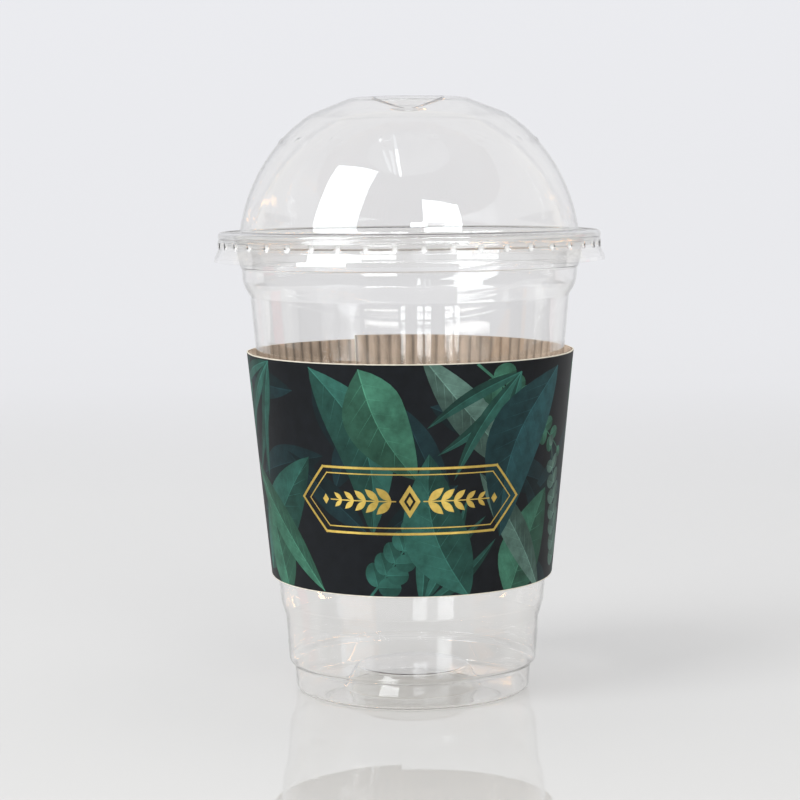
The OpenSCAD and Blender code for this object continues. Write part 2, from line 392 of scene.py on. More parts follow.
def lid_line():
    """The lid's outer face, from the straw opening to the foot of its skirt."""
    meet = math.degrees(math.acos(CONE_R / DOME_R))
    end = math.degrees(math.asin(DOME_DROP / DOME_R))
    steps = np.concatenate([np.linspace(meet, end, 22), NUB_AT + np.linspace(-2, 2, 11)])
    dome = [np.array([DOME_R * math.cos(math.radians(a)), DOME_C + DOME_R * math.sin(math.radians(a))])
            for a in sorted(set(np.round(steps, 3)), reverse=True)]
    # The cone runs out into the sphere without a corner.
    top = rounded([(TOP_INNER_R, DOME_TOP, 0), (TOP_R, DOME_TOP, TOP_ROUND),
                   (CONE_R, dome[0][1] - 0.02, CONE_ROUND), (*dome[3], 0)], 8)[:-1]
    rim = rounded([
        (DOME_FOOT_R, DOME_FOOT_Z, 0),
        (DOME_FOOT_R + 0.15, FLANGE_TOP, 0.4),
        (FLANGE_R, FLANGE_TOP, FLANGE_CORNER),
        (FLANGE_R, GROOVE_Z + GROOVE_HALF, 0.3),
        (FLANGE_R - GROOVE, GROOVE_Z, 0.3),
        (FLANGE_R, GROOVE_Z - GROOVE_HALF, 0),
    ], 4)
    band_top, band_foot = 1.05, -0.95
    band = [np.array([FLANGE_R, DIMPLE_Z + d]) for d in np.linspace(band_top, band_foot, 11)]
    foot = rounded([
        (FLANGE_R, DIMPLE_Z + band_foot, 0),
        (FLANGE_R, DIMPLE_Z - DIMPLE_R - BAND_EDGE, 0.6),
        (SKIRT_R - 0.15, SKIRT_Z + 1.1, 0.6),
        (SKIRT_R, SKIRT_Z, 0),
    ], 4)
    line = filled(top + dome[3:] + rim[1:] + band + foot[1:], 3.0)
    return [line[0]] + [b for a, b in zip(line, line[1:]) if np.linalg.norm(b - a) > 0.02]


def lid_rings(line):
    """A ring of points for each point of the line, with the dimples and the nubs."""
    a = np.radians(LID_ANGLES)
    off_dimple = LID_ANGLES % DIMPLE_PITCH - DIMPLE_PITCH / 2
    off_nub = LID_ANGLES % NUB_PITCH - NUB_PITCH / 2
    rings = []
    for r0, z0 in line:
        off = np.hypot(np.radians(off_dimple) * r0, z0 - DIMPLE_Z)
        down = DIMPLE_DEPTH * smooth(1 - (off - DIMPLE_FLAT) / DIMPLE_SLOPE)
        along = math.radians(math.degrees(math.atan2(z0 - DOME_C, r0)) - NUB_AT) * DOME_R
        off = np.hypot(np.radians(off_nub) * r0, along)
        up = NUB_RISE * smooth(1 - (off - NUB_FLAT) / NUB_SLOPE)
        outward = unit([r0, z0 - DOME_C])
        r = r0 - down + up * outward[0]
        z = z0 + up * outward[1]
        rings.append(np.stack([r * np.cos(a), r * np.sin(a), z], 1))
    return rings


def square_ring(z):
    """The square edge of the straw opening, one point for each angle."""
    c, s = np.cos(np.radians(LID_ANGLES)), np.sin(np.radians(LID_ANGLES))
    r = OPENING / 2 / np.maximum(abs(c), abs(s))
    return np.stack([r * c, r * s, np.full(len(r), z)], 1)


def petal(turn):
    """One petal of the straw opening, hinged at a side of the square and pressed down."""
    half = OPENING / 2
    reach = half - SLIT_GAP
    rows = PETAL_ROWS
    flat = []
    for i in range(rows + 1):
        wide = (1 - i / rows) * reach
        along = np.linspace(-wide, wide, rows - i + 1) if i < rows else [0]
        flat += [(x, i / rows * reach) for x in along]
    down, around = math.radians(PETAL_ANGLE), math.radians(turn)
    points = []
    for under in (0, LID_WALL):
        for x, y in flat:
            out = y * math.cos(down) - under * math.sin(down) - half
            sag = PETAL_SAG * math.sin(math.pi * y / reach)
            z = DOME_TOP - y * math.sin(down) - under * math.cos(down) - sag
            points.append((x * math.cos(around) - out * math.sin(around),
                           x * math.sin(around) + out * math.cos(around), z))
    below = len(flat)
    starts = [sum(rows - q + 1 for q in range(i)) for i in range(rows + 2)]
    top = []
    for i in range(rows):
        for k in range(rows - i):
            p, q = starts[i] + k, starts[i + 1] + k
            top.append((p, p + 1, q))
            if k < rows - i - 1:
                top.append((p + 1, q + 1, q))
    bottom = [tuple(below + v for v in reversed(f)) for f in top]
    edge = list(range(rows + 1))
    edge += [starts[i] + rows - i for i in range(1, rows + 1)]
    edge += [starts[i] for i in range(rows - 1, 0, -1)]
    sides = [(a, b, below + b, below + a) for a, b in zip(edge, edge[1:] + edge[:1])]
    return points, top + bottom + sides


def in_dimple(centre):
    """Whether a face of the lid lies in the painted highlight of a snap dimple."""
    out = math.hypot(centre.x, centre.y)
    turn = math.degrees(math.atan2(centre.y, centre.x)) % DIMPLE_PITCH - DIMPLE_PITCH / 2
    side = math.radians(turn) * out * HIGHLIGHT_SQUEEZE
    return math.hypot(side, centre.z - DIMPLE_Z) < DIMPLE_R


def dress_lid():
    line = lid_line()
    outer, inner = lid_rings(line), lid_rings(offset(line, -LID_WALL))
    # The flat top runs from the square opening to its round edge.
    for rings, z in ((outer, DOME_TOP), (inner, DOME_TOP - LID_WALL)):
        rings[0] = square_ring(z)
        rings.insert(1, (rings[0] + rings[1]) / 2)
    loop = outer + inner[::-1]
    verts = [tuple(v) for v in np.concatenate(loop)]
    faces = ring_faces(len(loop), len(LID_ANGLES))
    for turn in (0, 90, 180, 270):
        points, more = petal(turn)
        faces += [tuple(len(verts) + v for v in f) for f in more]
        verts += points
    # Painted highlights: the plastic in the snap dimples is made milky, so that they show as pale marks.
    lid = shell("lid_shell", verts, faces,
                clear_plastic("clear_plastic_lid", (0.994, 0.991, 0.984)),
                clear_plastic("clear_plastic_painted_highlight", (0.99, 0.99, 0.985), haze=0.55))
    for face in lid.data.polygons:
        face.material_index = int(in_dimple(face.center / MM))
    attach(lid, "lid")
    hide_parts("dome_lid")


dress_lid()

# the sleeve's board
WALL_Z = [0, BASE_RING_H, BASE_RING_H + RING_STEP_H, TAPER_Z - KINK_H, TAPER_Z, COLLAR_Z - STEP_BELOW]
WALL_R = [BASE_R, BASE_R + RING_DRAFT, BASE_R + RING_DRAFT + BASE_STEP, TAPER_LOW_R - KINK_W,
          TAPER_LOW_R, TAPER_HIGH_R]


def wall_r(z):
    return np.interp(z, WALL_Z, WALL_R)


LOW_R = wall_r(SLEEVE_Z) + SLEEVE_FIT
HIGH_R = wall_r(SLEEVE_TOP) + SLEEVE_FIT + SLEEVE_EASE
LAP_ANGLE = math.degrees(LAP_W / (wall_r(SLEEVE_TOP) + SLEEVE_FIT + BOARD_T))
OUTER_END = SEAM_AT - LAP_ANGLE
INNER_END = SEAM_AT + 360
STRIP = INNER_END - OUTER_END
STRIP_FLUTES = round(FLUTES * STRIP / 360)
ROWS = 7
# Each flute is glued to the liner this far to both sides of its crest.
CREST = 28.0
BETWEEN_CRESTS = np.linspace(CREST, 360 - CREST, 11)[1:-1]
PHASES = np.concatenate([[-CREST, 0, CREST], BETWEEN_CRESTS])


def stand_out(a):
    """How far the board stands out at an angle: the lap's outer layer and the creases."""
    off = np.minimum(abs(a - 180), abs(a - 360))
    return (BOARD_T + GLUE) * (1 - smooth((a - SEAM_AT) / LAP_RAMP)) \
        + CREASE_OUT * np.clip(1 - off / CREASE_SPAN, 0, 1) ** 2


def edge_rise(a):
    """How far the board's edges rise at an angle: their lean and the step at the lap."""
    return np.sin(np.radians(a)) * wall_r(SLEEVE_TOP) * math.tan(math.radians(EDGE_LEAN)) \
        - SEAM_STEP * OUTER_SKEW * np.clip((180 - a) / (180 - SEAM_AT), 0, 1) \
        + SEAM_STEP * (1 - OUTER_SKEW) * np.clip((a - 360) / SEAM_AT, 0, 1)


def on_board(a, share, depth):
    """A point of the board: angle, share of its height, and depth from its inner face."""
    a = np.asarray(a, float)
    z = SLEEVE_Z + edge_rise(a) + share * SLEEVE_H
    r = LOW_R + (HIGH_R - LOW_R) * (z - SLEEVE_Z) / SLEEVE_H + stand_out(a) + depth
    t = np.radians(a)
    return np.stack([r * np.cos(t), r * np.sin(t), np.broadcast_to(z, a.shape)], -1)


def board_mesh():
    """The liner and the fluted paper: points, faces, the material of each face, and the painted shade of
    each point.
    """
    idx = np.arange(len(PHASES) * STRIP_FLUTES + 3)
    phase = PHASES[idx % len(PHASES)]
    turn = idx // len(PHASES) + (phase + CREST) / 360
    a = OUTER_END + STRIP * turn / (STRIP_FLUTES + 2 * CREST / 360)
    top = math.cos(math.radians(CREST))
    # Share of the way from a flute's inner line to its crest
    crest = np.clip((np.cos(np.radians(phase)) + top) / (2 * top), 0, 1)
    inner = (FLUTE_H - MEDIUM_T) * crest
    glued = (idx % len(PHASES)) < 3
    depths = [inner, np.where(glued, FLUTE_H, inner + MEDIUM_T),
              np.full(len(a), FLUTE_H), np.full(len(a), BOARD_T)]
    verts = np.concatenate([on_board(a, row / (ROWS - 1), depth)
                            for depth in depths for row in range(ROWS)])
    # Painted shade: seen from inside, the flutes' glued crests lie deepest, so the kraft is painted darker
    # towards them, with thin dark lines along them and a random tone along the strip.
    rng = np.random.default_rng(3)
    wear = np.interp(a, np.linspace(a[0], a[-1], 60), rng.uniform(0.88, 1.06, 60))
    line = 0.42 * np.interp(a, np.linspace(a[0], a[-1], 97), rng.uniform(0.55, 1.2, 97))
    shade = np.tile((1.06 - 0.1 * crest - line * crest ** 12) * wear, len(depths) * ROWS)
    n = len(a)
    outside, inside, edge = 0, 1, 2
    faces, mats = [], []

    def at(i, k, row):
        """The point's index: i along the strip, k from the inner face outwards."""
        if glued[i] and k == 2:
            k = 1
        return (k * ROWS + row) * n + i

    def quad(corners, mat):
        faces.append(corners)
        mats.append(mat)

    top_row = ROWS - 1
    for i in range(n - 1):
        j = i + 1
        both = glued[i] and glued[j]
        for row in range(top_row):
            up = row + 1
            quad((at(i, 3, row), at(j, 3, row), at(j, 3, up), at(i, 3, up)), outside)
            quad((at(i, 0, row), at(i, 0, up), at(j, 0, up), at(j, 0, row)), inside)
            if not both:
                quad((at(i, 1, row), at(j, 1, row), at(j, 1, up), at(i, 1, up)), inside)
                quad((at(i, 2, row), at(i, 2, up), at(j, 2, up), at(j, 2, row)), inside)
        for low, high in ((0, 1), (1 if both else 2, 3)):
            mat = edge if high == 3 else inside
            quad((at(i, low, top_row), at(i, high, top_row), at(j, high, top_row),
                  at(j, low, top_row)), mat)
            quad((at(i, low, 0), at(j, low, 0), at(j, high, 0), at(i, high, 0)), mat)
    for i, flip in ((0, False), (n - 1, True)):
        for row in range(top_row):
            for low, high in ((0, 1), (1, 3)):
                q = (at(i, low, row), at(i, high, row), at(i, high, row + 1), at(i, low, row + 1))
                quad(q[::-1] if flip else q, edge)
    return verts, faces, mats, shade


def paper_material(name, colour, speck, rough, shaded=False):
    """Paper with fibres and blotches, darkened where shaded by the painted shade of the board's flutes."""
    m, s = new_material(name)
    here = s.here()
    fibre = s.noise(s.stretched(here, (1, 1, 0.25)), Scale=900.0, Detail=4.0, Roughness=0.6)
    blotch = s.noise(here, Scale=120.0, Detail=3.0)
    uneven = s.math("MULTIPLY", s.math("ADD", fibre, blotch), 0.8)
    paper = s.between(uneven, [c * (1 - speck) for c in colour],
                      [min(1, c * (1 + speck)) for c in colour], start=0.6)
    if shaded:
        shade = s.add("VertexColor", layer_name="painted_flute_shade").outputs["Color"]
        paper = s.mix_colours(1.0, paper, shade, "MULTIPLY")
    s.principled(Base_Color=paper, Roughness=rough, Specular_IOR_Level=0.25,
                 Normal=s.bump(fibre, 0.4, 0.00008))
    return m


def paint(mesh, name, domain, colours):
    """A colour for each point or each face corner of a mesh."""
    layer = mesh.color_attributes.new(name, "FLOAT_COLOR", domain)
    layer.data.foreach_set("color", np.asarray(colours, np.float32).ravel())


def dress_sleeve():
    cream = paper_material("board_cream", (0.86, 0.81, 0.68), 0.1, 0.7)
    # The kraft inside takes the painted shade of the flutes.
    kraft = paper_material("board_brown", (0.57, 0.455, 0.365), 0.2, 0.8, shaded=True)
    verts, faces, mats, shade = board_mesh()
    mesh = bpy.data.meshes.new("sleeve_board")
    mesh.from_pydata([tuple(v) for v in verts * MM], [], faces)
    # The painted shade of the flutes, as a colour on each point
    paint(mesh, "painted_flute_shade", "POINT", np.stack([shade, shade, shade, np.ones_like(shade)], 1))
    mesh.polygons.foreach_set("material_index", mats)
    mesh.shade_smooth()
    mesh.set_sharp_from_angle(angle=math.radians(50))
    board = show("sleeve_board", mesh, cream, kraft, cream)
    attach(board, "sleeve")
    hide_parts("sleeve")


dress_sleeve()

# The print. It is drawn flat, with x along the sleeve from its front and y up from its lower edge.
PRINT_R = 39.9
MM_PER_DEG = math.radians(1) * PRINT_R
LEFT = (OUTER_END - 270) * MM_PER_DEG
RIGHT = (INNER_END - 270) * MM_PER_DEG
CREASE = 90 * MM_PER_DEG
# The unprinted line along the top and bottom edge
BARE = 0.24
FILM_OUT = 0.03


def srgb(*levels):
    return tuple(c / 12.92 if c <= 0.04045 else ((c + 0.055) / 1.055) ** 2.4
                 for c in (level / 255 for level in levels))


GROUND = srgb(15, 18, 22)
TEAL = srgb(38, 76, 80)
SEA = srgb(46, 94, 84)
JADE = srgb(60, 110, 90)
MIST = srgb(86, 116, 106)
OLIVE = srgb(60, 84, 54)
DEEP = srgb(20, 42, 46)
PAPER = srgb(196, 186, 160)

# An outline with its colour at the base and the tip, which lies length along the way from the base
Shape = namedtuple("Shape", "outline base tip start way length foil")
shapes = []


def draw(outline, base, tip, start, way, length):
    shapes.append(Shape(outline, np.array(base), np.array(tip), np.array(start, float),
                        np.array(way, float), float(length), False))


def flat_shape(outline, colour=(1, 1, 1), foil=False):
    """A shape of one colour, or of gold foil."""
    shapes.append(Shape(outline, np.array(colour), np.array(colour), np.zeros(2),
                        np.array([1.0, 0.0]), 1.0, foil))


def directions(angle):
    """The unit vectors along an angle and to its left."""
    a = math.radians(angle)
    return np.array([math.cos(a), math.sin(a)]), np.array([-math.sin(a), math.cos(a)])


def tone(colour, k):
    return tuple(min(1.0, c * k) for c in colour)


def leaf(x, y, angle, length, width, colour, bend=0.0, peak=0.42, veins=7):
    """A plain leaf: two halves of different tone, a midrib and side veins."""
    f, n = directions(angle)
    base = np.array([x, y])
    tip = tone(colour, 0.55)
    light_half, dark_half = 1.2, 0.62
    rib_w, vein_w = 0.16, 0.09

    def mid(u):
        return base + f * u * length + n * bend * length * math.sin(math.pi * u) * 0.5

    def half_w(u):
        k = (u / peak) if u < peak else (1 - (u - peak) / (1 - peak))
        return width / 2 * math.sin(math.pi / 2 * max(0, k)) ** 0.85

    us = np.linspace(0, 1, 15)
    spine = [mid(u) for u in us]
    for side, k in ((1, light_half), (-1, dark_half)):
        edge = [mid(u) + n * side * half_w(u) for u in us]
        draw(spine + edge[-2:0:-1], tone(colour, k), tone(tip, k), base, f, length)
    rib = [mid(u) + n * rib_w * (1 - 0.7 * u) for u in us[:-1]]
    rib_back = [mid(u) - n * rib_w * (1 - 0.7 * u) for u in us[:-1]]
    draw(rib + [spine[-1]] + rib_back[::-1], tone(colour, 1.7), tone(colour, 1.2), base, f, length)
    for i in range(veins):
        u = 0.12 + 0.72 * i / max(1, veins - 1)
        for side, k in ((1, 1.45), (-1, 1.05)):
            end = min(0.98, u + 0.13)
            p = mid(u)
            q = mid(end) + n * side * half_w(end) * 0.86
            d = unit(q - p)
            w = np.array([-d[1], d[0]]) * vein_w
            draw([p + w, q, p - w], tone(colour, k), tone(colour, 1.0), base, f, length)


def stem(points, start_w, end_w, colour):
    left, right = [], []
    last = len(points) - 1
    for i, p in enumerate(points):
        d = unit(points[min(i + 1, last)] - points[max(i - 1, 0)])
        n = np.array([-d[1], d[0]])
        w = start_w + (end_w - start_w) * i / last
        left.append(p + n * w / 2)
        right.append(p - n * w / 2)
    whole = points[-1] - points[0]
    draw(left + right[::-1], colour, tone(colour, 0.7), points[0], unit(whole), np.linalg.norm(whole))


def round_leaf(x, y, r, colour, angle):
    f, n = directions(angle)
    c = np.array([x, y])
    us = np.linspace(0, math.pi, 10)
    for side, k in ((1, 1.15), (-1, 0.78)):
        out = [c + f * (-math.cos(u)) * r * 1.12 + n * side * math.sin(u) * r * 0.92 for u in us]
        draw(out, tone(colour, k), tone(colour, 0.6 * k), c - f * r, f, 2 * r)
    rib_start = c - f * r * 1.1
    draw([rib_start + n * 0.1, c + f * r * 0.8, rib_start - n * 0.1], tone(colour, 1.5), colour, c, f, r)


def sprig(x, y, angle, length, r, colour, curve, pairs=7):
    """A stem with pairs of round leaves that grow smaller towards its tip."""
    f, n = directions(angle)
    base = np.array([x, y])

    def mid(u):
        return base + f * u * length + n * curve * length * u * u

    stem([mid(u) for u in np.linspace(0, 1, 14)], 0.7, 0.25, tone(colour, 1.1))
    for i in range(pairs):
        u = 0.14 + 0.8 * i / pairs
        d = unit(mid(u + 0.02) - mid(u - 0.02))
        along = math.degrees(math.atan2(d[1], d[0]))
        size = r * (1 - 0.5 * u)
        for lean in (52, -52):
            out, _ = directions(along + lean)
            round_leaf(*(mid(u) + out * size * 1.15), size, colour, along + lean)
    round_leaf(*(mid(1.0) + f * r * 0.4), r * 0.45, colour, angle)


def blade_tuft(x, y, angle, length, colour, count=5, spread=14):
    """Narrow leaves that fan out from one point."""
    for i in range(count):
        off = i - (count - 1) / 2
        leaf(x, y, angle + off * spread, length * (1 - 0.06 * abs(off)), length * 0.11,
             tone(colour, 0.8 + 0.1 * (i % 3)), bend=0.12 if i % 2 else -0.12, veins=0)


rng = random.Random(7)


def broad_leaf(x, y, angle):
    leaf(x, y, angle, rng.uniform(38, 48), rng.uniform(14, 18), rng.choice((TEAL, SEA)),
         bend=rng.uniform(-0.3, 0.3), veins=9)


def leafy_sprig(x, y, angle):
    sprig(x, y, angle, rng.uniform(34, 44), rng.uniform(2.7, 3.3), rng.choice((JADE, SEA, MIST)),
          rng.uniform(-0.3, 0.3))


def short_leaf(x, y, angle):
    leaf(x, y, angle, rng.uniform(26, 34), rng.uniform(14, 18), rng.choice((JADE, JADE, OLIVE)),
         bend=rng.uniform(-0.2, 0.2), peak=0.36)


def tuft(x, y, angle):
    blade_tuft(x, y, angle, rng.uniform(30, 38), rng.choice((SEA, JADE)))


def long_leaf(x, y, angle):
    leaf(x, y, angle, rng.uniform(38, 46), rng.uniform(8, 11), rng.choice((JADE, MIST)),
         bend=rng.uniform(-0.35, 0.35), peak=0.5, veins=10)


MOTIFS = (broad_leaf, leafy_sprig, short_leaf, tuft, long_leaf)
BACK_LEAVES = 34


def draw_plants():
    # The back layer: dark leaves all round the sleeve
    for i in range(BACK_LEAVES):
        x = LEFT + (RIGHT - LEFT) * (i + rng.uniform(0.2, 0.8)) / BACK_LEAVES
        y = rng.uniform(4, 54)
        leaf(x, y, rng.uniform(0, 360), rng.uniform(20, 32), rng.uniform(7, 11),
             DEEP, bend=rng.uniform(-0.2, 0.2), veins=0)
    # The front layer: one motif after another, from the lower edge and from the upper edge by turns
    drawn = 0
    x = LEFT - 4
    while x < RIGHT + 4:
        for y, up in ((rng.uniform(-4, 3), 90), (rng.uniform(55, 62), 270)):
            lean = rng.choice((-1, 1)) * rng.uniform(14, 52)
            MOTIFS[drawn % len(MOTIFS)](x, y, up + lean)
            drawn += 1
        x += rng.uniform(12, 15)


def draw_chips():
    """Small chips of the ink at the two creases: place, half width and half height."""
    for x, y, wide, high in ((-62.7, 42.8, 0.5, 0.7), (-62.9, 28.0, 0.7, 0.9), (-62.5, 51.0, 0.3, 0.5),
                             (62.7, 56.6, 0.6, 0.8), (62.9, 42.5, 0.5, 1.0), (62.6, 30.2, 0.6, 0.6),
                             (62.8, 15.0, 0.6, 1.1)):
        flat_shape([(x - wide, y - high * 0.3), (x + wide * 0.4, y - high),
                    (x + wide, y + high * 0.2), (x - wide * 0.2, y + high)], PAPER)


def gold(outline):
    flat_shape(outline, foil=True)


def gold_line(points, w):
    """A line of foil through points, with square ends that overlap at its corners."""
    for a, b in zip(points, points[1:]):
        a, b = np.array(a, float), np.array(b, float)
        d = unit(b - a) * w / 2
        m = np.array([-d[1], d[0]])
        gold([a - d + m, b + d + m, b + d - m, a - d - m])


def diamond(x, y, a, b):
    return [(x - a, y), (x, y - b), (x + a, y), (x, y + b)]


def gold_leaf(x, y, angle, size):
    f, n = directions(angle)
    base = np.array([x, y])
    us = np.linspace(0, 1, 9)
    edge = [base + f * u * size + n * math.sin(math.pi * u) * size * 0.2 for u in us]
    back = [base + f * u * size - n * math.sin(math.pi * u) * size * 0.2 for u in us]
    gold(edge + back[-2:0:-1])


def draw_ornament(cx, cy, w, h):
    """A long pointed frame round a diamond and two sprays of small leaves."""
    for grow, line_w in ((0, 0.6), (-1.5, 0.28)):
        x, y = w / 2 + 1.6 * grow, h / 2 + grow
        flat = x - y * 0.85
        corners = [(cx - x, cy), (cx - flat, cy - y), (cx + flat, cy - y), (cx + x, cy),
                   (cx + flat, cy + y), (cx - flat, cy + y)]
        gold_line(corners + corners[:1], line_w)
    gold(diamond(cx, cy, 2.7, 4.2))
    flat_shape(diamond(cx, cy, 1.5, 2.4), GROUND)
    gold(diamond(cx, cy, 0.8, 1.3))
    for side in (1, -1):
        gold_line([(cx + side * 3.6, cy), (cx + side * 21, cy)], 0.3)
        for i in range(5):
            for lean in (40, -40):
                gold_leaf(cx + side * (4.6 + i * 3.3), cy, lean if side > 0 else 180 - lean, 5.2 - 0.6 * i)
        gold(diamond(cx + side * 22.6, cy, 0.9, 1.3))


draw_plants()
draw_chips()
draw_ornament(-0.4, 24.5, 60.0, 16.5)


def print_mesh():
    """One layer of triangles in which every shape's outline is a line of edges, and for each
    triangle the number of the shape that lies on top: 0 is the ground."""
    verts, faces, edges = [], [], []
    low, high = BARE, SLEEVE_H - BARE

    def put(x, y):
        verts.append(Vector((float(x), float(y))))
        return len(verts) - 1

    def fold(x):
        edges.append((put(x, low), put(x, high)))

    faces.append([put(x, y) for x, y in ((LEFT, low), (RIGHT, low), (RIGHT, high), (LEFT, high))])
    for shape in shapes:
        line = np.array(shape.outline)
        x, y = line.T
        clockwise = np.sum(x * np.roll(y, -1) - y * np.roll(x, -1)) < 0
        faces.append([put(*p) for p in (line[::-1] if clockwise else line)])
    columns = math.ceil((RIGHT - LEFT) / (2 * MM_PER_DEG))
    for i in range(1, columns):
        fold(LEFT + (RIGHT - LEFT) * i / columns)
    rows = 8
    for j in range(1, rows):
        y = SLEEVE_H * j / rows
        edges.append((put(LEFT, y), put(RIGHT, y)))
    # The film is folded at the creases, as the board is.
    fold(-CREASE)
    fold(CREASE)
    points, _, triangles, _, _, owners = delaunay_2d_cdt(verts, edges, faces, 0, 1e-4, True)
    kept = [(t, max(own)) for t, own in zip(triangles, owners) if 0 in own]
    return np.array([tuple(p) for p in points]), kept


def ink_material():
    m, s = new_material("print_ink")
    here = s.here()
    colour = s.add("VertexColor", layer_name="print_colour").outputs["Color"]
    mottle = s.noise(here, Scale=260.0, Detail=5.0, Roughness=0.62)
    fibre = s.noise(here, Scale=1500.0, Detail=3.0)
    s.principled(Base_Color=s.scaled(colour, s.fit(mottle, 0.3, 0.7, 0.62, 1.3)), Roughness=0.55,
                 Specular_IOR_Level=0.2, Normal=s.bump(fibre, 0.3, 0.00005))
    return m


def foil_material():
    m, s = new_material("gold_foil")
    grain = s.noise(s.here(), Scale=900.0, Detail=3.0)
    s.principled(Base_Color=s.between(grain, (0.50, 0.34, 0.07), (0.78, 0.58, 0.16)), Metallic=1.0,
                 Roughness=0.32, Normal=s.bump(grain, 0.25, 0.00004))
    return m


def dress_print():
    points, triangles = print_mesh()
    surface = on_board(270 + points[:, 0] / MM_PER_DEG, points[:, 1] / SLEEVE_H, BOARD_T + FILM_OUT)
    mesh = bpy.data.meshes.new("sleeve_print")
    mesh.from_pydata([tuple(p) for p in surface * MM], [], [tuple(t) for t, _ in triangles])
    colours = np.ones((len(triangles), 3, 4))
    mats = []
    for colour, (triangle, top) in zip(colours, triangles):
        shape = shapes[top - 1] if top else None
        mats.append(int(bool(shape and shape.foil)))
        if shape is None:
            colour[:, :3] = GROUND
            continue
        for corner, v in zip(colour, triangle):
            u = float(np.clip((points[v] - shape.start) @ shape.way / shape.length, 0, 1))
            corner[:3] = shape.base * (1 - u) + shape.tip * u
    paint(mesh, "print_colour", "CORNER", colours)
    mesh.polygons.foreach_set("material_index", mats)
    mesh.shade_smooth()
    film = show("sleeve_print", mesh, ink_material(), foil_material())
    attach(film, "sleeve")


dress_print()

# The floor and what surrounds the cup, in metres
FLOOR_Z = -0.0002
FLOOR_HALF = 2.5
FLOOR_FRONT = -1.5
SWEEP_AT, SWEEP_R, SWEEP_TOP = 0.9, 1.1, 3.0
# The white board under the cup ends this far from it.
BOARD_HALF = 0.36


def floor_material():
    m, s = new_material("pale_table")
    here = s.here()
    place = s.add("SeparateXYZ", Vector=here).outputs
    # Painted light: the sweep is painted lighter as it rises into the wall behind.
    shade = s.between(s.fit(place["Z"], 0.0, 0.3), (0.73, 0.723, 0.706), (0.90, 0.91, 0.945))
    # Painted shade: the table is painted darker under the cup's raised base, where little light comes in.
    flat = s.add("CombineXYZ", X=place["X"], Y=place["Y"]).outputs["Vector"]
    away = s.add("VectorMath", operation="LENGTH", Vector=flat).outputs["Value"]
    under = s.fit(away, 0.0165, 0.0185, 0.88)
    rough = s.fit(s.noise(here, Scale=6.0, Detail=2.0), 0.0, 1.0, 0.008, 0.02)
    board = s.principled(Base_Color=s.scaled(shade, under), Roughness=rough, Specular_IOR_Level=0.4)
    # The wall behind is in daylight of its own: eyes, mirrors and clear things see it near white,
    # and it throws none of that on the cup.
    rays = s.add("LightPath").outputs
    seen = s.math("MAXIMUM", rays["Is Camera Ray"], rays["Is Glossy Ray"])
    seen = s.math("MAXIMUM", seen, rays["Is Transmission Ray"])
    far = s.fit(place["Y"], 0.3, 1.2, 0.0, 0.85, interpolation_type="SMOOTHSTEP")
    day = s.add("Emission", Color=(0.84, 0.845, 0.875, 1), Strength=1.0).outputs[0]
    pale = s.mix_shaders(s.math("MULTIPLY", seen, far), board, day)
    # The cup mirrors the dark wood of the table beyond the board, at both sides and ahead.
    aside = s.math("GREATER_THAN", s.math("ABSOLUTE", place["X"], 0.0), BOARD_HALF)
    beside = s.math("MULTIPLY", aside, s.math("LESS_THAN", place["Y"], BOARD_HALF))
    past = s.math("MAXIMUM", beside, s.math("LESS_THAN", place["Y"], -BOARD_HALF))
    mirrored = s.math("GREATER_THAN", rays["Glossy Depth"], 0.5)
    direct = s.math("LESS_THAN", rays["Diffuse Depth"], 0.5)
    wood = s.add("Emission", Color=(0.16, 0.147, 0.134, 1), Strength=1.0).outputs[0]
    s.finish(s.mix_shaders(s.math("MULTIPLY", s.math("MULTIPLY", mirrored, direct), past), pale, wood))
    return m


def floor():
    """A floor that sweeps up into the wall behind."""
    side = [(y, FLOOR_Z) for y in (FLOOR_FRONT, *np.linspace(-1.2, SWEEP_AT, 8))]
    side += [(y, z + FLOOR_Z) for y, z in arc((SWEEP_AT, SWEEP_R), SWEEP_R, -90, 0, 32)[1:]]
    side += [(SWEEP_AT + SWEEP_R, SWEEP_TOP)]
    mesh = bpy.data.meshes.new("floor")
    mesh.from_pydata([(x, y, z) for y, z in side for x in (-FLOOR_HALF, FLOOR_HALF)], [],
                     [(2 * i, 2 * i + 1, 2 * i + 3, 2 * i + 2) for i in range(len(side) - 1)])
    mesh.shade_smooth()
    show("floor", mesh, floor_material())


def room():
    """The world: plain light, brighter from the wall behind."""
    world = bpy.data.worlds.new("room")
    bpy.context.scene.world = world
    world.use_nodes = True
    s = Shader(world.node_tree)
    y = s.add("SeparateXYZ", Vector=s.add("TexCoord").outputs["Generated"]).outputs["Y"]
    # Gloss and clear plastic see a darker room than the one that lights the cup, darkest ahead.
    dark = s.between(s.fit(y, -1.0, 0.4), (0.30, 0.295, 0.305), (0.78, 0.77, 0.76))
    rays = s.add("LightPath").outputs
    gloss = s.math("MAXIMUM", rays["Is Glossy Ray"], rays["Is Transmission Ray"])
    near = s.mix_colours(gloss, (0.76, 0.755, 0.75, 1), dark)
    colour = s.mix_colours(s.fit(y, 0.42, 0.55), near, (1.0, 0.98, 0.93, 1))
    s.fill(world.node_tree.nodes["Background"], Color=colour)


def aim(azimuth, elevation):
    """A direction at an angle from the front towards +X and at one above level."""
    a, e = math.radians(azimuth), math.radians(elevation)
    return Vector((math.sin(a) * math.cos(e), -math.cos(a) * math.cos(e), math.sin(e)))


def window(name, azimuth, elevation, wide, high, distance, strength):
    """A soft rectangular light that points at the cup."""
    way = aim(azimuth, elevation)
    data = bpy.data.lights.new(name, "AREA")
    data.shape = "RECTANGLE"
    data.size = wide
    data.size_y = high
    data.energy = strength * wide * high * math.pi
    data.color = (0.96, 0.98, 1.0)
    ob = bpy.data.objects.new(name, data)
    bpy.context.scene.collection.objects.link(ob)
    ob.location = Vector((0, 0, 0.09)) + way * distance
    ob.rotation_euler = (-way).to_track_quat("-Z", "Y").to_euler()
    ob.visible_camera = False
    ob.visible_glossy = False
    ob.visible_transmission = False


